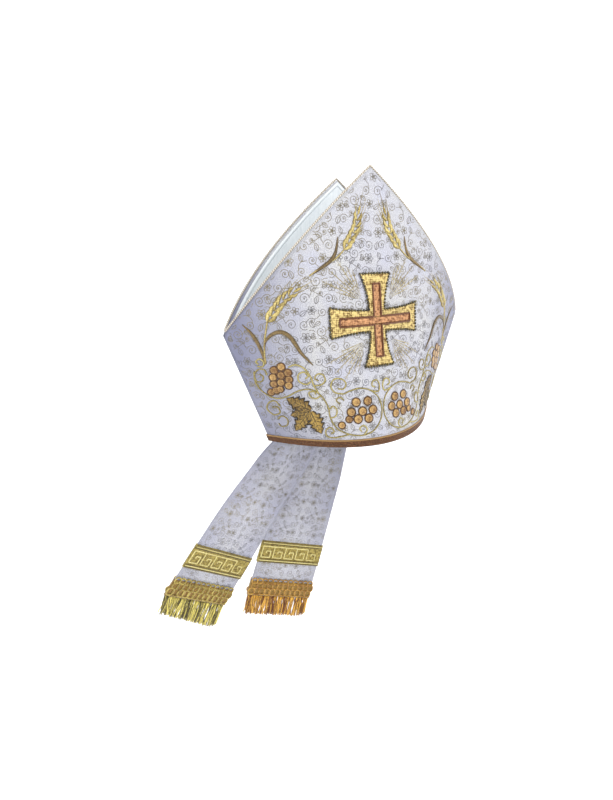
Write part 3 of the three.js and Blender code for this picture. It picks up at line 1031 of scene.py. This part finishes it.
# ---- The fringe's heading ----
# Three rows of loops in twisted gold cord are plaited over a darker tape sewn round the lappet's end. The
# top row stands past the tape, so that the heading's upper edge is scalloped.
HEADER_DEPTH, HEADER_THICK, TAPE_DROP = 28 * MM, 1.4 * MM, 3 * MM
LOOPS = 12
LOOP_ROWS = ((3 * MM, 4.4 * MM, 0.5, 1), (10.5 * MM, 5.2 * MM, 0.7, 0.95), (20.5 * MM, 5.4 * MM, 0.4, 1))
header_at = STRIP_LENGTH - HEADER_DEPTH - SEAM
header_tones = {
    "left": (srgb(226, 206, 112), srgb(104, 82, 22)), "right": (srgb(226, 182, 84), srgb(116, 70, 12)),
}
tape_gold = satin_stitch("header_tape", srgb(170, 134, 52), srgb(78, 54, 14), 0.3)
edge = END_WIDTH / 2
for name, place in places.items():
    work = Solids()
    sections = sleeve(place, header_at + TAPE_DROP, HEADER_DEPTH - TAPE_DROP, HEADER_THICK * 0.6)
    work.ring(sections, np.arange(len(sections)) * 2.5 * MM)
    header = work.make(f"header_tape_{name}", tape_gold)
    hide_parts(f"fringe_header_{name}")
    work = Solids(61)
    angle = np.linspace(0, 2 * math.pi, 15)
    for face in (BACK, FRONT):
        for drop, size, shift, squeeze in LOOP_ROWS:
            for k in range(LOOPS):
                x = -edge + (k + shift) * 2 * edge / LOOPS + size * np.sin(angle) * squeeze
                y = header_at + drop - size * np.cos(angle)
                over = 0.5 * MM * np.sin(3 * angle)
                path = place(x, y, face * (near + HEADER_THICK + over))
                work.loft(cord_rings(path, 1.15 * MM, 4 * MM, corners=6))
    header_gold = satin_stitch(f"header_gold_{name}", *header_tones[name], 0.5)
    loops = work.make(f"header_loops_{name}", header_gold)
    hung_on[name] += [header, loops]

# ---- The fringe ----
# Twisted gold threads are caught under the heading in tufts and cross one another below. They fall straight
# down more than their leaning lappet does, and are cut round at the corners.
FRINGE_LENGTH, TUFTS, THREADS_IN_TUFT = 31 * MM, 13, 22
fringe_tones = {
    "left": (srgb(232, 216, 112), srgb(62, 52, 10)), "right": (srgb(238, 186, 72), srgb(100, 48, 4)),
}
uneven_cut = {"left": 5 * MM, "right": 0}
for name, place in places.items():
    work = Solids(71)
    chance = random.Random(72)
    for k in range(TUFTS * THREADS_IN_TUFT):
        tuft = k % TUFTS
        root = -edge + (tuft + 0.5 + chance.uniform(-0.55, 0.55)) * 2 * edge / TUFTS
        tip = -edge + (tuft + 0.5 + chance.uniform(-0.4, 0.4)) * 2 * edge / TUFTS
        tip += chance.uniform(-2, 2) * MM
        root = float(np.clip(root, -edge + 0.8 * MM, edge - 0.8 * MM))
        tip = float(np.clip(tip, -edge - 1 * MM, edge + 1 * MM))
        out = chance.uniform(-1.9, 1.9) * MM
        tip += FRINGE_LENGTH * 0.55 * math.sin(math.radians(LEANS[name] - 12))
        corner = min(1.0, max(0.0, abs(root) / edge - 0.84) / 0.16)
        length = FRINGE_LENGTH * (1 + chance.uniform(-0.04, 0.06)) - 7 * MM * corner**2
        length += uneven_cut[name] * root / edge
        t = np.linspace(0, 1, 7)
        x = root + (tip - root) * t + chance.uniform(-1, 1) * 1.5 * MM * np.sin(math.pi * t)
        y = STRIP_LENGTH + SEAM + 0.3 * MM + length * t
        path = place(x, y, out * (0.5 + 0.5 * t) + 0.6 * MM * np.sin(5 * t + k))
        work.loft(cord_rings(path, 0.8 * MM, 3 * MM, corners=5))
    fringe_gold = satin_stitch(f"fringe_gold_{name}", *fringe_tones[name], 0.45, 1.5)
    strands = work.make(f"fringe_strands_{name}", fringe_gold)
    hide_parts(f"fringe_{name}")
    hung_on[name].append(strands)

# ---- Floor, light and camera ----
# A wide pale dish stands under and around the mitre, lit by soft panels; the camera stands close and to
# the left of the front, a little above.
AROUND = 96
dish = bpy.data.meshes.new("floor")
profile = [(0.0, 0.0), (1.6, 0.0), (2.2, 0.06), (2.7, 0.3), (3.0, 0.8), (3.05, 3.5)]
profile = smooth_line(profile, 0.08)
profile[:, 1] = np.maximum(profile[:, 1], 0)
floor_z = cad_low.z - 12 * MM
around = np.linspace(0, 2 * math.pi, AROUND, endpoint=False)
points = [(r * math.cos(a), r * math.sin(a), floor_z + h) for r, h in profile[1:] for a in around]
points.append((0, 0, floor_z))
faces = [(len(points) - 1, k, (k + 1) % AROUND) for k in range(AROUND)]
for j in range(len(profile) - 2):
    for k in range(AROUND):
        n = (k + 1) % AROUND
        faces.append((j * AROUND + k, (j + 1) * AROUND + k, (j + 1) * AROUND + n, j * AROUND + n))
dish.from_pydata(points, [], faces)
dish.polygons.foreach_set("use_smooth", [True] * len(dish.polygons))
floor = bpy.data.objects.new("floor", dish)
bpy.context.scene.collection.objects.link(floor)
paper = Finish("pale_floor", Roughness=0.9, Emission_Color=(1, 1, 1, 1), Emission_Strength=0.34)
paper_tone = paper.mix(paper.noise(3, 2.0), srgb(244, 244, 246), srgb(250, 250, 251))
dish.materials.append(paper.surface(Base_Color=paper_tone))


def soft_light(name, place, aim, size, watts, colour=(1, 1, 1)):
    lamp = bpy.data.lights.new(name, "AREA")
    lamp.shape, lamp.size, lamp.energy, lamp.color = "SQUARE", size, watts, colour
    obj = bpy.data.objects.new(name, lamp)
    obj.location = place
    obj.rotation_euler = (Vector(aim) - Vector(place)).to_track_quat("-Z", "Y").to_euler()
    bpy.context.scene.collection.objects.link(obj)


soft_light("key", (0.15, -1.2, 1.5), (0, 0, 0.05), 0.5, 23)
soft_light("back", (-0.4, 1.5, 1.2), (0, 0, 0.1), 1.2, 12)
world = bpy.data.worlds.new("studio")
world.use_nodes = True
world.node_tree.nodes["Background"].inputs["Color"].default_value = (1, 1, 1, 1)
world.node_tree.nodes["Background"].inputs["Strength"].default_value = 0.5
bpy.context.scene.world = world
bpy.context.scene.view_settings.view_transform = "Standard"

AZIMUTH, ELEVATION, ROLL = math.radians(24.1), math.radians(17.0), math.radians(-2.02)
AIM, STAND_OFF, FOCAL_SHARE = Vector((-66.8, 0, 44.3)) * MM, 550 * MM, 0.55025
level = math.cos(ELEVATION)
back = Vector((-math.sin(AZIMUTH) * level, -math.cos(AZIMUTH) * level, math.sin(ELEVATION)))
right = Vector((math.cos(AZIMUTH), -math.sin(AZIMUTH), 0))
up = back.cross(right)
tilted_right = right * math.cos(ROLL) + up * math.sin(ROLL)
tilted_up = up * math.cos(ROLL) - right * math.sin(ROLL)
lens = bpy.data.cameras.new("camera")
lens.sensor_width = 36
lens.lens = FOCAL_SHARE * lens.sensor_width
camera = bpy.data.objects.new("camera", lens)
camera.matrix_world = Matrix((tilted_right, tilted_up, back)).transposed().to_4x4()
camera.matrix_world.translation = AIM + back * STAND_OFF
bpy.context.scene.collection.objects.link(camera)
bpy.context.scene.camera = camera
